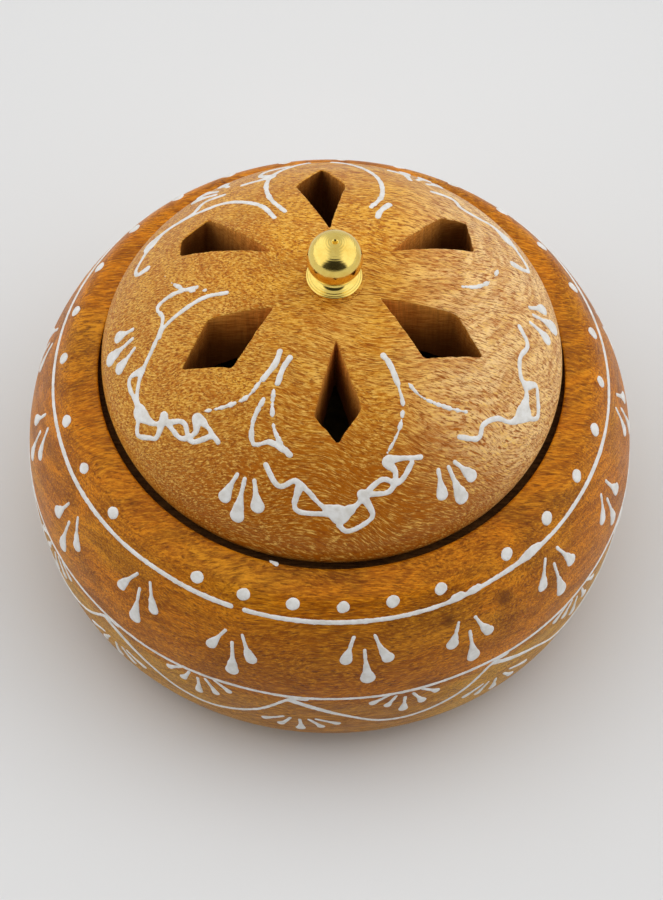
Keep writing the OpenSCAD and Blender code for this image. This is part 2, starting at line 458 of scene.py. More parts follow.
bowl = {
    "segments": 320,
    "bellyHeight": 29.0,
    "heelRadius": 16.0,
    "sideRadius": 55.0,
    "landWidth": 6.0,      # flat ring round the mouth
    "landFall": 1.5,
    "footRingWidth": 9.0,
    "footRecess": 1.0,
    "mouthGap": 0.6,
    "ledgeWidth": 8.2,
    "floorHeight": 9.0,
    "wellCorner": 12.0,
    "creaseEase": 1.8,
    "edgeEase": 0.7,
}
mouthRadius = lidRadius + bowl["mouthGap"]
wellRadius = mouthRadius - bowl["ledgeWidth"]
crease = (mouthRadius + bowl["landWidth"], rimHeight - bowl["landFall"])
sideCentre = (bowlRadius - bowl["sideRadius"], bowl["bellyHeight"])
heelDrop = bowl["bellyHeight"] - bowl["heelRadius"]
heelCentre = (sideCentre[0] + math.sqrt((bowl["sideRadius"] - bowl["heelRadius"]) ** 2 - heelDrop ** 2),
              bowl["heelRadius"])
heelTurn = -math.degrees(math.asin(heelDrop / (bowl["sideRadius"] - bowl["heelRadius"])))
shoulderDrop = (bowlRadius - crease[0], crease[1] - bowl["bellyHeight"])
shoulderRadius = (shoulderDrop[0] ** 2 + shoulderDrop[1] ** 2) / (2 * shoulderDrop[0])
shoulderCentre = (bowlRadius - shoulderRadius, bowl["bellyHeight"])
creaseTurn = math.degrees(math.asin(shoulderDrop[1] / shoulderRadius))
bowlSide = joined(
    arc(heelCentre, bowl["heelRadius"], -90, heelTurn, 24), 0,
    arc(sideCentre, bowl["sideRadius"], heelTurn, 0, 16), 0,
    arc(shoulderCentre, shoulderRadius, 0, creaseTurn, 28), bowl["creaseEase"],
    line(crease, (mouthRadius, rimHeight), 1.0))


def makeBowl():
    footRadius, ease = heelCentre[0], bowl["edgeEase"]
    recess, floor, corner = footRadius - bowl["footRingWidth"], bowl["floorHeight"], bowl["wellCorner"]
    outline = joined(
        line((0, bowl["footRecess"]), (recess, bowl["footRecess"])), 0.4,
        line((recess, bowl["footRecess"]), (recess, 0), 0.5), 0.3,
        line((recess, 0), (footRadius, 0)), 0,
        bowlSide, ease,
        line((mouthRadius, rimHeight), (mouthRadius, seatHeight), 0.8), 0.4,
        line((mouthRadius, seatHeight), (wellRadius, seatHeight), 1.0), ease,
        line((wellRadius, seatHeight), (wellRadius, floor + corner)), 0,
        arc((wellRadius - corner, floor + corner), corner, 0, -90, 16), 0,
        line((wellRadius - corner, floor), (0, floor)))
    piece = meshFrom("turnedBowl", *turned(outline, bowl["segments"]), "pot", "bowl_wood", "bowl")

    # the well and the recess under the foot take the near-black wood, a painted shade
    def unvarnished(centres):
        radius = np.hypot(centres[:, 0], centres[:, 1])
        inWell = (radius < mouthRadius + 0.1) & (centres[:, 2] > floor - 0.5)
        return inWell | ((radius < recess) & (centres[:, 2] < floor - 0.5))

    paintTwoMaterials(piece, bowlWood, paintedShadeWood, unvarnished)


makeBowl()
print("bowl")

# the lid

lid = {
    "segments": 288,
    "holeSegments": 72,    # points round the screw hole
    "widestLift": 7.1,     # height of the widest ring above the seat
    "edgeRadius": 10.0,
    "thickness": 14.0,
    "seatWidth": 7.0,
    "spotRadius": 5.8,     # flat under the knob
    "washerSpot": 6.0,
    "screwHole": 2.2,
    "skirtStart": 38.0,    # inside this radius the dome is meshed round the vents
    "ventEdge": 0.35,      # how far the vents' edges are rounded over
    "cellSize": 1.35,
    "clearOfVents": 0.7,   # the net keeps this far from the rings of points beside a vent
    "ventBands": (0.14, 0.32, 0.6, 1.1),       # how far those rings are from its edge
    "edgeFall": 0.7,       # share of a true round that the vents' edges get
    "sawWaver": 0.16,      # how far the saw strayed, in long waves and in short ones
    "sawRipple": 0.10,
    "cutWaver": 0.45,      # the same for the cutter's marks on the vents' walls
    "cutRipple": 0.14,
    "wallRungs": 12,
    "pullFrom": 26.0,      # beyond this radius the vents lean in towards the hollow
    "pullIn": 0.026,
}
edgeCentre = (lidRadius - lid["edgeRadius"], seatHeight + lid["widestLift"])
crownRise = apexHeight - edgeCentre[1]
crownSquares = edgeCentre[0] ** 2 + crownRise ** 2 - lid["edgeRadius"] ** 2
crownRadius = crownSquares / (2 * (crownRise - lid["edgeRadius"]))
crownHeight = apexHeight - crownRadius
edgeTurn = math.degrees(math.atan2(edgeCentre[1] - crownHeight, edgeCentre[0]))
tuckTurn = -math.degrees(math.asin(lid["widestLift"] / lid["edgeRadius"]))
hollowRadius = edgeCentre[0] + lid["edgeRadius"] * math.cos(math.radians(tuckTurn)) - lid["seatWidth"]
hollowRise = apexHeight - lid["thickness"] - seatHeight
hollowSphere = (hollowRadius ** 2 + hollowRise ** 2) / (2 * hollowRise)
domeSide = joined(
    arc(edgeCentre, lid["edgeRadius"], tuckTurn, edgeTurn, 26), 0,
    arc((0, crownHeight), crownRadius, edgeTurn, 90, 48))


def domeHeight(radius):
    # height of the dome's outside over any radius inside its widest ring
    tangent = edgeCentre[0] + lid["edgeRadius"] * math.cos(math.radians(edgeTurn))
    if radius < tangent:
        return crownHeight + math.sqrt(crownRadius ** 2 - radius ** 2)
    return edgeCentre[1] + math.sqrt(max(lid["edgeRadius"] ** 2 - (radius - edgeCentre[0]) ** 2, 0))


def hollowHeight(radius):
    return seatHeight + hollowRise - hollowSphere + math.sqrt(max(hollowSphere ** 2 - radius ** 2, 0))


# each vent is a kite sawn by hand: its turn in degrees, then in mm how far out its point is, how far
# out and sideways its left corner and its end are, and the same for its right corner
vents = [
    (-87, 13, 26, 4.5, 30.5, 0, 25, 4.5),
    (-24, 9.5, 21.5, 6, 30, 2, 22.5, 6),
    (35.5, 13, 29, 4.5, 32.5, 3, 28, 5),
    (95, 12, 26, 4, 33.5, 0, 26.5, 5.5),
    (150.5, 13.5, 30.5, 5, 33, 0.5, 31, 4.5),
    (-152, 12.5, 23.5, 5.5, 31.5, -0.5, 24, 6),
]


def roundedLoop(corners, ease=0.7, step=0.42):
    # even points round a closed outline whose corners are eased
    path = []
    count = len(corners)
    for k in range(count):
        before, corner, after = (np.array(corners[(k + s) % count], float) for s in (-1, 0, 1))
        back, ahead = before - corner, after - corner
        sizes = np.linalg.norm(back), np.linalg.norm(ahead)
        cut = min(ease, sizes[0] * 0.4, sizes[1] * 0.4)
        start, end = corner + back / sizes[0] * cut, corner + ahead / sizes[1] * cut
        for t in np.linspace(0, 1, 6):
            path.append((1 - t) ** 2 * start + 2 * t * (1 - t) * corner + t * t * end)
    path = np.array(path + [path[0]])
    along = lengthsAlong(path)
    even = np.linspace(0, along[-1], max(12, round(along[-1] / step)) + 1)[:-1]
    return np.stack([np.interp(even, along, path[:, i]) for i in (0, 1)], axis=1)


def outwards(loop):
    # unit directions out of a closed loop that runs counter-clockwise
    ahead = np.roll(loop, -1, axis=0) - np.roll(loop, 1, axis=0)
    side = np.stack([ahead[:, 1], -ahead[:, 0]], axis=1)
    return side / np.linalg.norm(side, axis=1)[:, None]


def sawnLoop(index, turn, point, leftAt, leftWide, endAt, endAside, rightAt, rightWide):
    # the vent's outline over the dome, with the small waver of a hand saw
    loop = roundedLoop([(point, 0), (leftAt, -leftWide), (endAt, endAside), (rightAt, rightWide)])
    away = outwards(loop)
    waver = [lid["sawWaver"] * noise.noise((p[0] * 0.55, p[1] * 0.55, 9.0 * index)) +
             lid["sawRipple"] * noise.noise((p[0] * 1.9, p[1] * 1.9, 5.0 + 9.0 * index)) for p in loop]
    loop = loop + away * np.array(waver)[:, None]
    c, s = math.cos(math.radians(turn)), math.sin(math.radians(turn))
    return loop @ np.array([[c, s], [-s, c]])


def insideLoop(points, loop):
    # which points a closed loop goes round
    x, y = points[:, 0], points[:, 1]
    inside = np.zeros(len(points), bool)
    for (x0, y0), (x1, y1) in zip(loop, np.roll(loop, -1, axis=0)):
        crosses = (y0 > y) != (y1 > y)
        inside ^= crosses & (x < (x1 - x0) * (y - y0) / (y1 - y0 + 1e-12) + x0)
    return inside


def ringPoints(radius, count, shift=0.0):
    turns = (np.arange(count) + shift) * 2 * math.pi / count
    return np.stack([radius * np.cos(turns), radius * np.sin(turns)], axis=1)


def netBetween(innerRadius, innerCount, outerRadius, outerCount, loops, bands):
    # a net of triangles from an inner ring to an outer ring that leaves the loops open; the loops
    # and the bands beside them keep their points, and the ids say which ring or loop a point is from
    fixed = [ringPoints(innerRadius, innerCount), ringPoints(outerRadius, outerCount)] + loops
    free = []
    for band in bands:
        for loop in loops:
            band = band[~insideLoop(band, loop)]
        free.append(band)
    cell = lid["cellSize"]
    steps = round((outerRadius - innerRadius) / cell)
    for k in range(1, steps):
        radius = innerRadius + (outerRadius - innerRadius) * k / steps
        ring = ringPoints(radius, max(innerCount, round(2 * math.pi * radius / cell)), 0.5 * (k % 2))
        for loop in loops:
            ring = ring[~insideLoop(ring, loop)]
            near = np.linalg.norm(ring[:, None] - loop[None], axis=2).min(axis=1)
            ring = ring[near > lid["clearOfVents"] + lid["ventBands"][-1]]
        free.append(ring)
    edges, start = [], 0
    for group in fixed:
        count = len(group)
        edges += [(start + k, start + (k + 1) % count) for k in range(count)]
        start += count
    corners = [Vector(p) for p in np.concatenate(fixed + free)]
    made = geometry.delaunay_2d_cdt(corners, edges, [], 0, 1e-6, True)
    places = np.array([tuple(p) for p in made[0]])
    source = [ids[0] if ids else -1 for ids in made[3]]
    faces = np.array([f for f in made[2] if len(f) == 3])
    middle = places[faces].mean(axis=1)
    radius = np.hypot(middle[:, 0], middle[:, 1])
    kept = (radius > innerRadius * math.cos(math.pi / innerCount)) & (radius < outerRadius)
    for loop in loops:
        kept &= ~insideLoop(middle, loop)
    return places, source, faces[kept]


def edgeDrop(distance):
    # how far the wood falls away beside a vent's edge
    reach = lid["ventEdge"]
    short = max(reach - distance, 0.0)
    return lid["edgeFall"] * (reach - math.sqrt(reach ** 2 - short ** 2))


def makeLid():
    innerCount, outerCount = lid["holeSegments"], lid["segments"]
    loops = [sawnLoop(k, *vent) for k, vent in enumerate(vents)]
    allLoops = np.concatenate(loops)
    bands = [loop + outwards(loop) * size for loop in loops for size in lid["ventBands"]]
    points, faces = [], []

    def addNet(inner, outer, loops, bands, heightAt, flip):
        # adds one skin and returns where its rings and loops start
        places, source, net = netBetween(inner, innerCount, outer, outerCount, loops, bands)
        start = len(points)
        for x, y in places:
            points.append((x, y, heightAt(x, y)))
        for a, b, c in net:
            faces.append((start + a, start + c, start + b) if flip else (start + a, start + b, start + c))
        where = {s: start + k for k, s in enumerate(source) if s >= 0}
        rings, first = [], 0
        for count in [innerCount, outerCount] + [len(loop) for loop in loops]:
            rings.append([where[first + k] for k in range(count)])
            first += count
        return rings

    def outside(x, y):
        near = float(np.min(np.hypot(allLoops[:, 0] - x, allLoops[:, 1] - y)))
        return domeHeight(math.hypot(x, y)) - edgeDrop(near)

    def inside(x, y):
        return hollowHeight(math.hypot(x, y))

    def pulled(loop):
        radius = np.hypot(loop[:, 0], loop[:, 1])
        excess = np.maximum(radius - lid["pullFrom"], 0)
        return loop * (1 - lid["pullIn"] * excess ** 2 / radius)[:, None]

    outer = addNet(lid["spotRadius"], lid["skirtStart"], loops, bands, outside, False)
    innerLoops = [pulled(loop) for loop in loops]
    innerBands = [loop + outwards(loop) * lid["ventBands"][-1] for loop in innerLoops]
    inner = addNet(lid["washerSpot"], hollowRadius - 0.02, innerLoops, innerBands, inside, True)

    def ladder(top, bottom, rungs, between):
        # walls down from a ring or loop to the one below it
        rows = [top]
        for k in range(1, rungs):
            rows.append(range(len(points), len(points) + len(top)))
            for a, b in zip(top, bottom):
                points.append(between(np.array(points[a]), np.array(points[b]), k / rungs))
        rows.append(bottom)
        count = len(top)
        for upper, lower in zip(rows, rows[1:]):
            faces.extend((upper[k], lower[k], lower[(k + 1) % count], upper[(k + 1) % count])
                         for k in range(count))

    def chiselled(a, b, share):
        # the walls keep the up-and-down marks of the cutter
        p = a + (b - a) * share
        out = p[:2] / np.linalg.norm(p[:2])
        sway = lid["cutWaver"] * noise.noise((p[0] * 0.5, p[1] * 0.5, p[2] * 0.12))
        sway += lid["cutRipple"] * noise.noise((p[0] * 2.2, p[1] * 2.2, p[2] * 0.25))
        sway *= min(1, 4 * share, 4 * (1 - share))
        return (p[0] + out[0] * sway, p[1] + out[1] * sway, p[2])

    for top, bottom in zip(outer[2:], inner[2:]):
        ladder(top[::-1], bottom[::-1], lid["wallRungs"], chiselled)

    def straight(a, b, share):
        return tuple(a + (b - a) * share)

    def ringAt(radius, height, count):
        start = len(points)
        points.extend((x, y, height) for x, y in ringPoints(radius, count))
        return list(range(start, start + count))

    # down the screw hole, from the flat under the knob to the flat over the washer
    turns = ((lid["spotRadius"], knobSeat), (lid["screwHole"], knobSeat),
             (lid["screwHole"], washerTop), (lid["washerSpot"], washerTop))
    chain = [outer[0]] + [ringAt(*turn, innerCount) for turn in turns] + [inner[0]]
    for upper, lower in zip(chain, chain[1:]):
        ladder(upper[::-1], lower[::-1], 1, straight)
    # the skirt: out over the edge, under to the seat and in to the hollow
    skirt = [p for p in domeSide if not (p[0] < lid["skirtStart"] and p[1] > edgeCentre[1])]
    seat = joined(line((hollowRadius, seatHeight), skirt[0], 1.0), 0.6, skirt)
    last = inner[1]
    for r, z in seat:
        if r >= hollowRadius + 0.3:      # the hollow's own ring is already there
            ring = ringAt(r, z, outerCount)
            ladder(last, ring, 1, straight)
            last = ring
    ladder(last, outer[1], 1, straight)
    faces = [tuple(int(v) for v in face) for face in faces]
    piece = meshFrom("domedLid", points, faces, "cover", "lid_wood", "lid")

    def unvarnished(centres):
        radius = np.hypot(centres[:, 0], centres[:, 1])
        skin = np.array([domeHeight(min(r, lidRadius)) for r in radius])
        return (radius < lid["skirtStart"]) & (centres[:, 2] < skin - 0.5)

    paintTwoMaterials(piece, lidWood, cutWood, unvarnished)
    piece.data.set_sharp_from_angle(angle=math.radians(50))


makeLid()
print("lid")

# the knob

knob = {
    "segments": 128,
    "skirtCurl": 7,         # how late the skirt curves up into the neck
    "ballRadius": 5.3,
    "flangeRadius": 5.3,
    "flangeHeight": 0.8,
    "skirtDip": 0.22,       # how far under the flange's top its skirt starts
    "neckRadius": 3.4,
    "bore": 2.0,
    "boreDepth": 6.0,
    "dimpleRadius": 0.6,
    "dimpleDepth": 0.80,
    "ringDepth": 0.022,     # lathe rings on the ball's top and the skirt
    "ringsFrom": 38,        # degrees up the ball
    "skirtRise": 0.75,
    "edge": 0.12,           # the flange's rounded edge
}


def makeKnob():
    ball, neck, flange = knob["ballRadius"], knob["neckRadius"], knob["flangeRadius"]
    top = math.degrees(math.acos(knob["dimpleRadius"] / ball))
    ballHeight = knobHigh[2] - knobSeat - ball * math.sin(math.radians(top))
    neckTurn = -math.degrees(math.acos(neck / ball))
    neckTop = ballHeight + ball * math.sin(math.radians(neckTurn))
    sphere = []
    for t in np.linspace(neckTurn, top, 90):
        cut = knob["ringDepth"] * max(0.0, math.sin(t * 1.15)) * min(1, max(0, (t - knob["ringsFrom"]) / 12))
        a = math.radians(t)
        sphere.append(((ball - cut) * math.cos(a), ballHeight + (ball - cut) * math.sin(a)))
    # the skirt is a shallow cone with fine turned rings that curves up into the neck
    edge, skirtFoot = knob["edge"], knob["flangeHeight"] - knob["skirtDip"]
    skirt = []
    for t in np.linspace(0, 1, 40):
        rise = knob["skirtRise"] * t + (neckTop - skirtFoot - knob["skirtRise"]) * t ** knob["skirtCurl"]
        marks = knob["ringDepth"] * math.sin(26 * t) * (1 - t)
        skirt.append((flange - edge - (flange - edge - neck) * t, skirtFoot + rise + marks))
    tip = sphere[-1][1]
    dimple = [(knob["dimpleRadius"] * (1 - t), tip - knob["dimpleDepth"] * t) for t in np.linspace(0, 1, 7)]
    outline = joined(
        line((0, knob["boreDepth"]), (knob["bore"], knob["boreDepth"])), 0.1,
        line((knob["bore"], knob["boreDepth"]), (knob["bore"], 0)), 0.1,
        line((knob["bore"], 0), (flange, 0)), edge,
        line((flange, 0), (flange, skirtFoot - edge), 0.4), 0.1,
        line((flange, skirtFoot - edge), skirt[0], 0.1), 0,
        skirt, 0,
        [skirt[-1]] + sphere[1:], edge,
        dimple)
    points, faces = turned(outline, knob["segments"])
    points = [(x, y, z + knobSeat) for x, y, z in points]
    piece = meshFrom("brassKnob", points, faces, "cover", "polished_brass", "knob")
    piece.data.materials.append(brass)
    piece.data.set_sharp_from_angle(angle=math.radians(55))


makeKnob()
plainParts = (("knob_screw", screwSteel), ("knob_washer", screwSteel),
              ("dish_screw", screwSteel), ("ash_dish", dishBrass))
for node, finish in plainParts:
    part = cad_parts[node]
    part.data.materials.clear()
    part.data.materials.append(finish)
print("knob and metal parts")

# the paint

paintLook = {
    "cell": 0.2,          # mm between the points of the paint's net
    "height": 0.17,       # how proud of the wood it stands
    "shoulder": 0.50,     # how far in from its edge it reaches that height
    "join": 0.45,         # how softly strokes run together
    "waver": 0.11,        # unsteadiness of the brush
    "sunk": 0.06,         # how far its back lies in the wood
}
bare = -9.0               # the field where there is no paint


def paintSurface(outline):
    # rows run along a turned outline, columns go round the axis
    outline = np.array(outline)
    along = lengthsAlong(outline)
    rows = max(2, round(along[-1] / paintLook["cell"]))
    run = np.linspace(0, along[-1], rows + 1)
    radius, height = (np.interp(run, along, outline[:, k]) for k in (0, 1))
    ahead = np.gradient(np.stack([radius, height]), run, axis=1)
    ahead /= np.linalg.norm(ahead, axis=0)
    columns = round(2 * math.pi * radius.max() / paintLook["cell"])
    return {"run": run, "radius": radius, "height": height, "outR": ahead[1], "outZ": -ahead[0],
            "columns": columns, "field": np.full((rows + 1, columns), bare)}


def brushPath(points, halfWidth, step=0.18):
    # a smooth path through (along, across, half-width) points, in even steps
    full = np.array([p if len(p) == 3 else (*p, halfWidth) for p in points], float)
    full = np.concatenate([[2 * full[0] - full[1]], full, [2 * full[-1] - full[-2]]])
    path = []
    for a, b, c, d in zip(full, full[1:], full[2:], full[3:]):
        count = max(2, round(math.hypot(c[0] - b[0], c[1] - b[1]) / step))
        for t in np.arange(count) / count:
            square, cube = 2 * a - 5 * b + 4 * c - d, 3 * b - a - 3 * c + d
            path.append(0.5 * (2 * b + (c - a) * t + square * t ** 2 + cube * t ** 3))
    return np.array(path + [full[-2]])


def brush(surface, turn, points, halfWidth, wear=0.0, seed=0.0):
    # lays one stroke; points are (turn in degrees, place along the outline in mm), some with a half-width
    run, radius, columns = surface["run"], surface["radius"], surface["columns"]
    cell, join = run[1] - run[0], paintLook["join"]
    middle = np.interp(np.mean([p[1] for p in points]), run, radius)
    scale = math.radians(1) * middle
    flat = [(p[0] * scale, *p[1:]) for p in points]
    stroke, travelled, last = {}, 0.0, None
    for x, place, width in brushPath(flat, halfWidth):
        travelled += 0 if last is None else math.hypot(x - last[0], place - last[1])
        last = (x, place)
        width *= 1 + 1.4 * paintLook["waver"] * noise.noise((travelled * 0.9, seed, 1.3))
        width += paintLook["waver"] * 0.5 * noise.noise((travelled * 2.6, seed, 7.7))
        if wear:
            slow = noise.noise((travelled * 0.62, seed, 4.1))
            quick = noise.noise((travelled * 2.3, seed, 2.9))
            width -= wear * max(0.0, 0.35 + 1.3 * slow + 0.5 * quick)
        reach = width + join
        if width < 0.08:
            continue
        low, high = np.searchsorted(run, (place - reach, place + reach))
        here = radius[min(max((low + high) // 2, 0), len(run) - 1)]
        step = 2 * math.pi / columns
        centre = (math.radians(turn) + x / middle) / step
        side = int(reach / (here * step)) + 2
        cols = np.arange(int(centre) - side, int(centre) + side + 1)
        away = np.hypot((run[low:high] - place)[:, None], ((cols - centre) * step * here)[None])
        for i, row in enumerate(width - away):
            for j, value in zip(cols, row):
                if value > -join:
                    key = (low + i, j % columns)
                    stroke[key] = max(value, stroke.get(key, bare))
    field = surface["field"]
    for (i, j), value in stroke.items():
        old = field[i, j]
        if old == bare:
            field[i, j] = value
        else:
            near = max(join - abs(old - value), 0) / join
            field[i, j] = max(old, value) + near * near * join / 4


def raisedPaint(name, surface, body):
    # turns the field into closed raised shapes that lie on the wood
    field, columns = surface["field"], surface["columns"]
    angle = np.arange(columns) * 2 * math.pi / columns
    cosine, sine = np.cos(angle), np.sin(angle)
    for i, j in zip(*np.nonzero(field > bare)):
        radius = surface["radius"][i]
        spot = [value * 1.1 for value in (cosine[j] * radius, sine[j] * radius, surface["run"][i])]
        field[i, j] += paintLook["waver"] * 0.6 * noise.noise(spot)
    inside = field > 0
    across = np.roll(inside, -1, axis=1)
    touched = inside[:-1] | inside[1:] | across[:-1] | across[1:]
    points, faces, made = [], [], {}

    def base(i, j):
        radius = surface["radius"][i]
        return np.array((radius * cosine[j], radius * sine[j], surface["height"][i]))

    def out(i, j):
        return np.array((surface["outR"][i] * cosine[j], surface["outR"][i] * sine[j], surface["outZ"][i]))

    def knot(i, j, top):
        key = (i, j, top)
        if key not in made:
            share = min(field[i, j] / paintLook["shoulder"], 1)
            rise = paintLook["height"] * math.sqrt(1 - (1 - share) ** 2) if top else -paintLook["sunk"]
            made[key] = len(points)
            points.append(tuple(base(i, j) + out(i, j) * rise))
        return made[key]

    def crossing(a, b):
        key = (min(a, b), max(a, b))
        if key not in made:
            first, second = key
            share = min(max(field[first] / (field[first] - field[second]), 0.1), 0.9)
            p, q = base(*first), base(*second)
            made[key] = len(points)
            points.append(tuple(p + (q - p) * share - out(*first) * 0.015))
        return made[key]

    for i, j in zip(*np.nonzero(touched)):
        n = (j + 1) % columns
        corners = [(i, j), (i, n), (i + 1, n), (i + 1, j)]
        top, bottom = [], []
        for a, b in zip(corners, corners[1:] + corners[:1]):
            if inside[a]:
                top.append(knot(*a, True))
                bottom.append(knot(*a, False))
            if inside[a] != inside[b]:
                where = crossing(a, b)
                top.append(where)
                bottom.append(where)
        faces.append(tuple(top))
        faces.append(tuple(bottom[::-1]))
    piece = meshFrom(name, points, faces, body, "white_paint")
    piece.data.materials.append(paint)
    piece.data.set_sharp_from_angle(angle=math.radians(75))
    print("paint: %s, %d faces" % (name, len(faces)))


def onBowl(points):
    # heights become lengths along the bowl's outline
    outline = np.array(bowlSide)
    along = lengthsAlong(outline)
    return [(p[0], float(np.interp(p[1], outline[:, 1], along)), *p[2:]) for p in points]


def onLid(points):
    # radii become lengths along the dome's outline, above its widest ring
    outline = np.array(domeSide)
    upper = outline[:, 1] >= edgeCentre[1] - 1e-6
    along = lengthsAlong(outline)[upper]
    return [(p[0], float(np.interp(-p[1], -outline[upper, 0], along)), *p[2:]) for p in points]


bowlPaint = {
    "upperLine": 46.9,      # heights in mm
    "lowerLine": 27.3,
    "dotHeight": 49.6,
    "dotRuns": [(-167.5, -142, 3), (-118, -65, 6), (-48.5, 176.5, 19)],     # first turn, last turn, count
    "dotSize": 1.15,
    "blobs": [(-62, 0.75), (-58, 0.7), (-43.5, 1.0), (-42, 0.8), (-45, 0.7)],     # turn, size
    "swags": 9,
    "firstSwag": -94.5,
}


def drop(surface, tip, end, thin, fat, place, turn=0, seed=0.0):
    # a teardrop with a thin stem that swells to a fat end, bent a little to one side
    bend = 0.5 * noise.noise((seed * 0.37, turn * 0.11, 2.2))

    def between(share, width):
        x, y = (a + (b - a) * share for a, b in zip(tip, end))
        return x + bend * math.sin(math.pi * share), y, width

    swell = ((0, thin), (0.38, 1.15 * thin), (0.66, 0.72 * fat), (0.86, fat))
    brush(surface, turn, place([between(*part) for part in swell]), thin, 0, seed)


def ringLine(surface, height, halfWidth, sway, start, end, seed):
    # a line round the bowl, a little unsteady in height and width
    points = []
    for turn in np.linspace(start, end, round((end - start) / 6) + 1):
        a = math.radians(turn)
        up = sway * noise.noise((3 * math.cos(a), 3 * math.sin(a), seed))
        swell = 0.25 * noise.noise((5 * math.cos(a), 5 * math.sin(a), seed + 2))
        points.append((turn, height + up, halfWidth * (1 + swell)))
    brush(surface, 0, onBowl(points), halfWidth, 0, seed)


def paintRings():
    surface = paintSurface(bowlSide)
    upper, lower = bowlPaint["upperLine"], bowlPaint["lowerLine"]
    ringLine(surface, upper, 0.50, 0.35, -106.5, 250.5, 3.0)      # its ends don't quite meet
    ringLine(surface, lower, 0.38, 0.5, -180, 186, 11.0)
    for turn, width in bowlPaint["blobs"]:
        brush(surface, turn, onBowl([(-0.7, upper + 0.2), (0.8, upper + 0.3)]), width, 0, turn)
    brush(surface, -102.6, onBowl([(-0.8, 52.4), (0.6, 52.3)]), 0.42, 0, 5.0)     # a stray dab by the mouth
    raisedPaint("bowlRings", surface, "pot")


def paintDots():
    surface = paintSurface(bowlSide)
    turns = [turn for first, last, count in bowlPaint["dotRuns"] for turn in np.linspace(first, last, count)]
    for turn in turns:
        size = bowlPaint["dotSize"] + 0.16 * noise.noise((turn * 0.31, 4.4, 0.2))
        up = bowlPaint["dotHeight"] + 0.3 * noise.noise((turn * 0.23, 8.4, 0.2))
        brush(surface, turn, onBowl([(-0.12, up - 0.06), (0.12, up + 0.06)]), size, 0, turn)
    raisedPaint("bowlDots", surface, "pot")


# three drops under the line, each from its tip to its fat end (turn in degrees, height in mm)
triad = [((-1.8, 42.8), (-4.2, 37.4)), ((0, 40.2), (0.4, 32.0)), ((1.8, 42.8), (4.7, 37.0))]
frontTriads = [-172, -151, -129, -108, -82, -61, -39, -19, 1]
backTriads = 8


def paintTriads():
    surface = paintSurface(bowlSide)
    room = (360 + frontTriads[0] - frontTriads[-1]) / (backTriads + 1)
    turns = frontTriads + [frontTriads[-1] + room * (k + 1) for k in range(backTriads)]
    for k, turn in enumerate(turns):
        lift = 0.9 if k % 2 == 0 else -0.7      # they stand high and low by turns
        for n, (tip, end) in enumerate(triad):
            ends = [(p[0] + 0.7 * noise.noise((k * 1.7, n, s)),
                     p[1] + lift + 0.8 * noise.noise((n, k * 1.3, s))) for p, s in ((tip, 0.4), (end, 5.6))]
            drop(surface, *ends, 0.36, 1.2 + 0.15 * (n == 1), onBowl, turn, k + 20 * n)
    raisedPaint("bowlTriads", surface, "pot")


# the drops of a fan: tip, end and the end's half-width
upperFan = [((-2.8, 27.2), (-6.6, 24.4), 0.75), ((-1.6, 26.2), (-3.4, 22.6), 0.8),
            ((0.2, 25.2), (0, 19.4), 0.95),
            ((1.8, 26.0), (4.0, 21.4), 0.85), ((3.6, 26.8), (6.8, 24.2), 0.75)]
lowerFan = [((-3.0, 18.4), (-7.4, 15.6), 0.75), ((-1.6, 18.0), (-4.0, 13.6), 0.8),
            ((0.2, 17.6), (0.2, 11.8), 0.95),
            ((2.0, 18.0), (4.6, 13.6), 0.8), ((3.4, 18.4), (8.0, 15.8), 0.75)]


def paintGarlands():
    surface = paintSurface(bowlSide)
    step = 360 / bowlPaint["swags"]
    for k in range(bowlPaint["swags"]):
        turn = bowlPaint["firstSwag"] + step * k
        sway = [noise.noise((k * 2.3, s, 6.1)) for s in range(8)]
        swag = [(-1.5, 25.9 + 0.5 * sway[0], 0.65), (3, 23.6, 0.6), (9.5, 20.0 + sway[1]),
                (16, 16.2 + sway[2]), (23, 15.8 + sway[3]), (31.5, 19.6 + sway[4]),
                (step - 2, 26.0), (step + 1.5, 26.9, 0.6)]
        brush(surface, turn, onBowl(swag), 0.4, 0, k)
        # a fan hangs from the line in the middle of each swag, and another under each end
        middle = turn + step / 2 + 1.5 * sway[6]
        for fan, place, n, seed in ((upperFan, middle, 1, k), (lowerFan, turn, 4, k + 30)):
            for tip, end, fat in fan:
                drop(surface, (tip[0] + sway[n], tip[1]), (end[0] + sway[n + 1], end[1] + 0.6 * sway[n + 2]),
                     0.34, fat, onBowl, place, seed)
    raisedPaint("bowlGarlands", surface, "pot")


# the strokes of a petal round a vent, for its right side: half-width, wear, then points (turn from
# the vent in degrees, radius in mm), some with a half-width of their own
strokes = {
    "stem": (0.60, 0.1, [(29, 18), (30, 20), (29, 23)]),
    "tail": (0.45, 0.5, [(29, 24), (27, 27), (22, 30), (16, 33)]),
    "long": (0.50, 0.1, [(24, 20), (25, 24), (23, 28), (19, 32), (14, 35), (8, 38), (3, 40)]),
    "hook": (0.52, 0.2, [(31, 26), (31, 30), (28, 33), (23, 32), (17, 33)]),
    "scroll": (0.52, 0.0, [(23, 35), (18, 37), (13, 36), (9, 37), (5, 39), (0, 40, 1.7)]),
    "sweep": (0.50, 0.0, [(26, 35), (20, 34), (16, 34, 1.1), (18, 36), (15, 38), (9, 38)]),
    "curl": (0.50, 0.0, [(11, 37, 0.8), (12, 39), (10, 40), (5, 40), (1, 40, 0.8)]),
    "loop": (0.50, 0.0, [(0, 41), (3, 42), (7, 41), (9, 40), (7, 38, 1.0)]),
    "tick": (0.52, 0.0, [(20, 38), (24, 38), (28, 36)]),
}
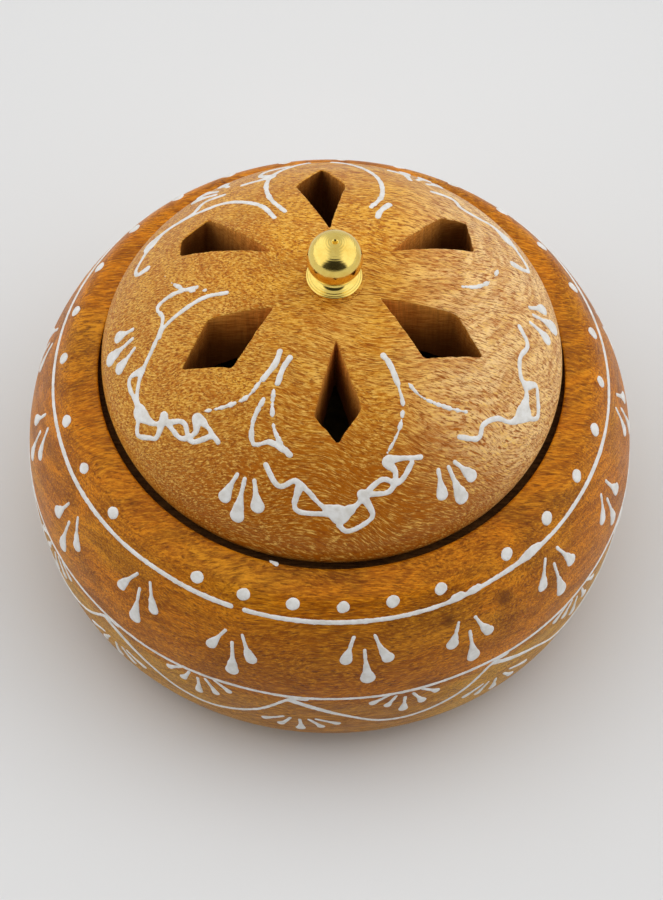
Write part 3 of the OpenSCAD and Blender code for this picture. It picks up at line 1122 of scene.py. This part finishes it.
# a petal's turn, then its strokes on the left and on the right
petals = [
    (-87, "stem tail hook scroll curl", "stem tail sweep scroll loop"),
    (-24, "tail scroll", "scroll loop"),
    (-152, "long hook curl", "stem tail sweep scroll loop"),
    (150.5, "long scroll", "tail curl"),
    (95, "long tick", "long sweep"),
    (35.5, "tail curl", "stem scroll"),
]
# three drops between each pair of petals: tip, end and the end's half-width
lidDrops = [((-3, 37.5), (-4.5, 41), 1.25), ((0, 38), (1, 42.6), 1.45), ((2.5, 37.5), (5.5, 40.8), 1.3)]
firstDrops = -54


def paintPetals():
    surface = paintSurface(domeSide)
    for turn, left, right in petals:
        for side, names in ((-1, left), (1, right)):
            for k, name in enumerate(names.split()):
                halfWidth, wear, points = strokes[name]
                seed = turn + 40 * side + 3 * k
                # no two are alike: each point strays a little from the pattern
                strayed = [(side * p[0] + 1.3 * noise.noise((p[0] * 0.21, seed, 0.4)),
                            p[1] + 0.7 * noise.noise((p[1] * 0.33, seed, 6.2)), *p[2:]) for p in points]
                brush(surface, turn, onLid(strayed), halfWidth, wear, seed)
    raisedPaint("lidPetals", surface, "cover")


def paintLidDrops():
    surface = paintSurface(domeSide)
    for n in range(len(vents)):
        turn = firstDrops + 360 / len(vents) * n
        for k, (tip, end, fat) in enumerate(lidDrops):
            stray = [noise.noise((n * 1.9, k, s)) for s in (0.4, 3.3, 7.1)]
            drop(surface, (tip[0] + stray[0], tip[1] + stray[1]),
                 (end[0] + 1.5 * stray[1], end[1] + 0.6 * stray[2]), 0.42, fat, onLid, turn, turn + k)
    raisedPaint("lidDrops", surface, "cover")


paintRings()
paintDots()
paintTriads()
paintGarlands()
paintPetals()
paintLidDrops()

# stage, light and camera

stageLook = {
    "near": (0.735, 0.745, 0.755),      # painted light: the paper is made a little lighter near the object, to lift the shade round it
    "far": (0.665, 0.672, 0.679),
    "from": 0.055,                      # m from the middle
    "to": 0.30,
    "floorSize": 4.0,
}


def makeStage():
    half = stageLook["floorSize"]
    mesh = bpy.data.meshes.new("floor")
    corners = [(-half, -half, 0), (half, -half, 0), (half, half, 0), (-half, half, 0)]
    mesh.from_pydata(corners, [], [(0, 1, 2, 3)])
    floor = newObject("floor", mesh)
    material, shader = newMaterial("paper", Roughness=0.9, Specular_IOR_Level=0.1)
    away = addNode(material, "ShaderNodeVectorMath", operation="LENGTH")
    link(material, grainSpace(material, (mm, mm, mm)), away.inputs[0])
    # painted light near the object, fading out to the paper's own tone further away
    far = softStep(material, away.outputs["Value"], stageLook["from"], stageLook["to"])
    tone = mixed(material, far, stageLook["near"], stageLook["far"])
    grain = cloud(material, grainSpace(material, (0.01, 0.01, 0.01)), 1, 2, 0.5)
    tone = mixed(material, 1.0, tone, rampOf(material, grain, (0.3, 0.985), (0.7, 1.0)), "MULTIPLY")
    link(material, tone, shader.inputs["Base Color"])
    mesh.materials.append(material)


lamps = [
    # name, place in m, width, height, watts
    ("leftBox", (-1.2, 0.0, 1.2), 1.0, 1.0, 1.5),
    ("rightBox", (1.2, 0.0, 1.2), 1.0, 1.0, 2.5),
    ("topBox", (0.0, 0.2, 1.9), 2.6, 2.2, 10.0),
]
tent = {
    "sides": 1.13,          # how bright the cloth is at the left and right
    "back": 0.63,           # and at the back and above
    "front": 0.05,          # the open front is dark
    "cloth": (1.0, 0.99, 0.975),
    "sideSpan": (0.25, 0.62),       # where the back turns into the sides, 1 being straight left or right
    "frontSpan": (-0.76, -0.56),    # where the open front ends, -1 being straight in front
}


def makeLight():
    for name, place, width, height, watts in lamps:
        data = bpy.data.lights.new(name, "AREA")
        data.shape, data.size, data.size_y = "RECTANGLE", width, height
        data.energy = watts
        lamp = newObject(name, data)
        lamp.location = place
        lamp.visible_glossy = False      # the brass mirrors only the tent
        lamp.rotation_euler = (Vector((0, 0, 0.05)) - Vector(place)).to_track_quat("-Z", "Y").to_euler()
    world = bpy.data.worlds.new("tent")
    world.use_nodes = True
    x, y, z = axesOf(world, "Generated")
    cloth = softStep(world, sums(world, "ABSOLUTE", x, 0.0), *tent["sideSpan"], tent["back"], tent["sides"])
    opening = softStep(world, y, *tent["frontSpan"], tent["front"], 1.0)
    background = world.node_tree.nodes["Background"]
    background.inputs["Color"].default_value = (*tent["cloth"], 1)
    link(world, sums(world, "MULTIPLY", cloth, opening), background.inputs["Strength"])
    bpy.context.scene.world = world
    bpy.context.scene.view_settings.view_transform = "Standard"


view = {
    "height": 56.63,        # degrees above the table
    "roll": 1.60,
    "distance": 1749.6,     # mm
    "lens": 360.0,
    "filmWidth": 36.0,
    "aside": 0.41,
    "up": 13.94,
}


def makeCamera():
    e, roll = math.radians(view["height"]), math.radians(view["roll"])
    back = Vector((0, -math.cos(e), math.sin(e)))
    right, up = Vector((1, 0, 0)), Vector((0, math.sin(e), math.cos(e)))
    across = right * math.cos(roll) + up * math.sin(roll)
    upward = up * math.cos(roll) - right * math.sin(roll)
    data = bpy.data.cameras.new("camera")
    data.sensor_width, data.lens = view["filmWidth"], view["lens"]
    data.clip_start, data.clip_end = 0.1, 20.0
    camera = newObject("camera", data)
    place = (back * view["distance"] + right * view["aside"] + up * view["up"]) * mm
    turn = Matrix((across, upward, back)).transposed().to_4x4()
    camera.matrix_world = Matrix.Translation(place) @ turn
    bpy.context.scene.camera = camera


makeStage()
makeLight()
makeCamera()
print("stage, light and camera")
